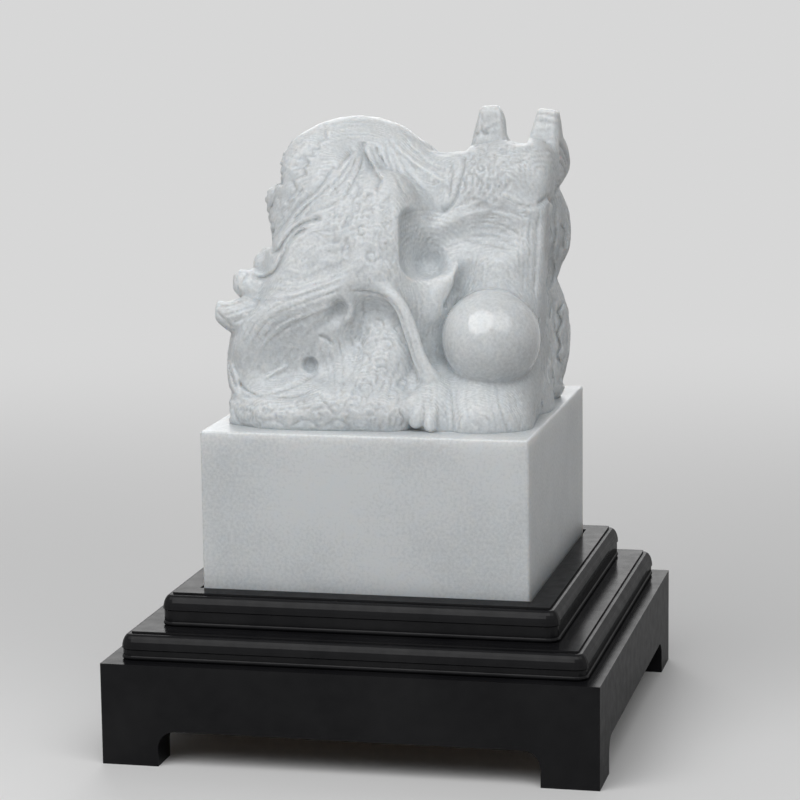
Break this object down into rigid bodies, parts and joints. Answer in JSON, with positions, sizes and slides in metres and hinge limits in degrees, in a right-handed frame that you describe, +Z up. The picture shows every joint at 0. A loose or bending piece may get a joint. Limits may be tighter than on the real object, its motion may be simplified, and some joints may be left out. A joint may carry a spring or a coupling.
{
  "type": "seal stamp",
  "caption": "Square carved stone seal with a coiled dragon knob, resting in the felt-lined recess of a stepped black lacquered wooden stand on bracket feet.",
  "frame": {"origin": "centre of the stand's underside, on the surface it stands on", "axes": "+Z up, +X to the right and +Y away from whoever looks at the seal's front"},
  "size_m": [0.09, 0.09, 0.1148],
  "materials": {
    "white_jade": "polished, slightly translucent, cool white",
    "black_lacquer": "black lacquer, semi-gloss",
    "raw_wood": "planed, unfinished",
    "felt": "black felt",
    "zinc_steel": "zinc plated"
  },
  "bodies": {
    "stand": {"felt_liner": "felt", "upper_step": "black_lacquer", "lower_step": "black_lacquer", "deck_panel": "raw_wood", "apron_front": "black_lacquer", "apron_right": "black_lacquer", "apron_back": "black_lacquer", "apron_left": "black_lacquer", "glue_block_front_left": "raw_wood", "glue_block_front_right": "raw_wood", "glue_block_back_right": "raw_wood", "glue_block_back_left": "raw_wood", "screw_front_left": "zinc_steel", "screw_front_right": "zinc_steel", "screw_back_right": "zinc_steel", "screw_back_left": "zinc_steel"},
    "seal": {"seal_stone": "white_jade"}
  },
  "joints": [
    {"name": "seal_lift", "type": "slide", "parent": "stand", "child": "seal", "axis": [0, 0, 1], "range_m": [0, 0.06]}
  ]
}
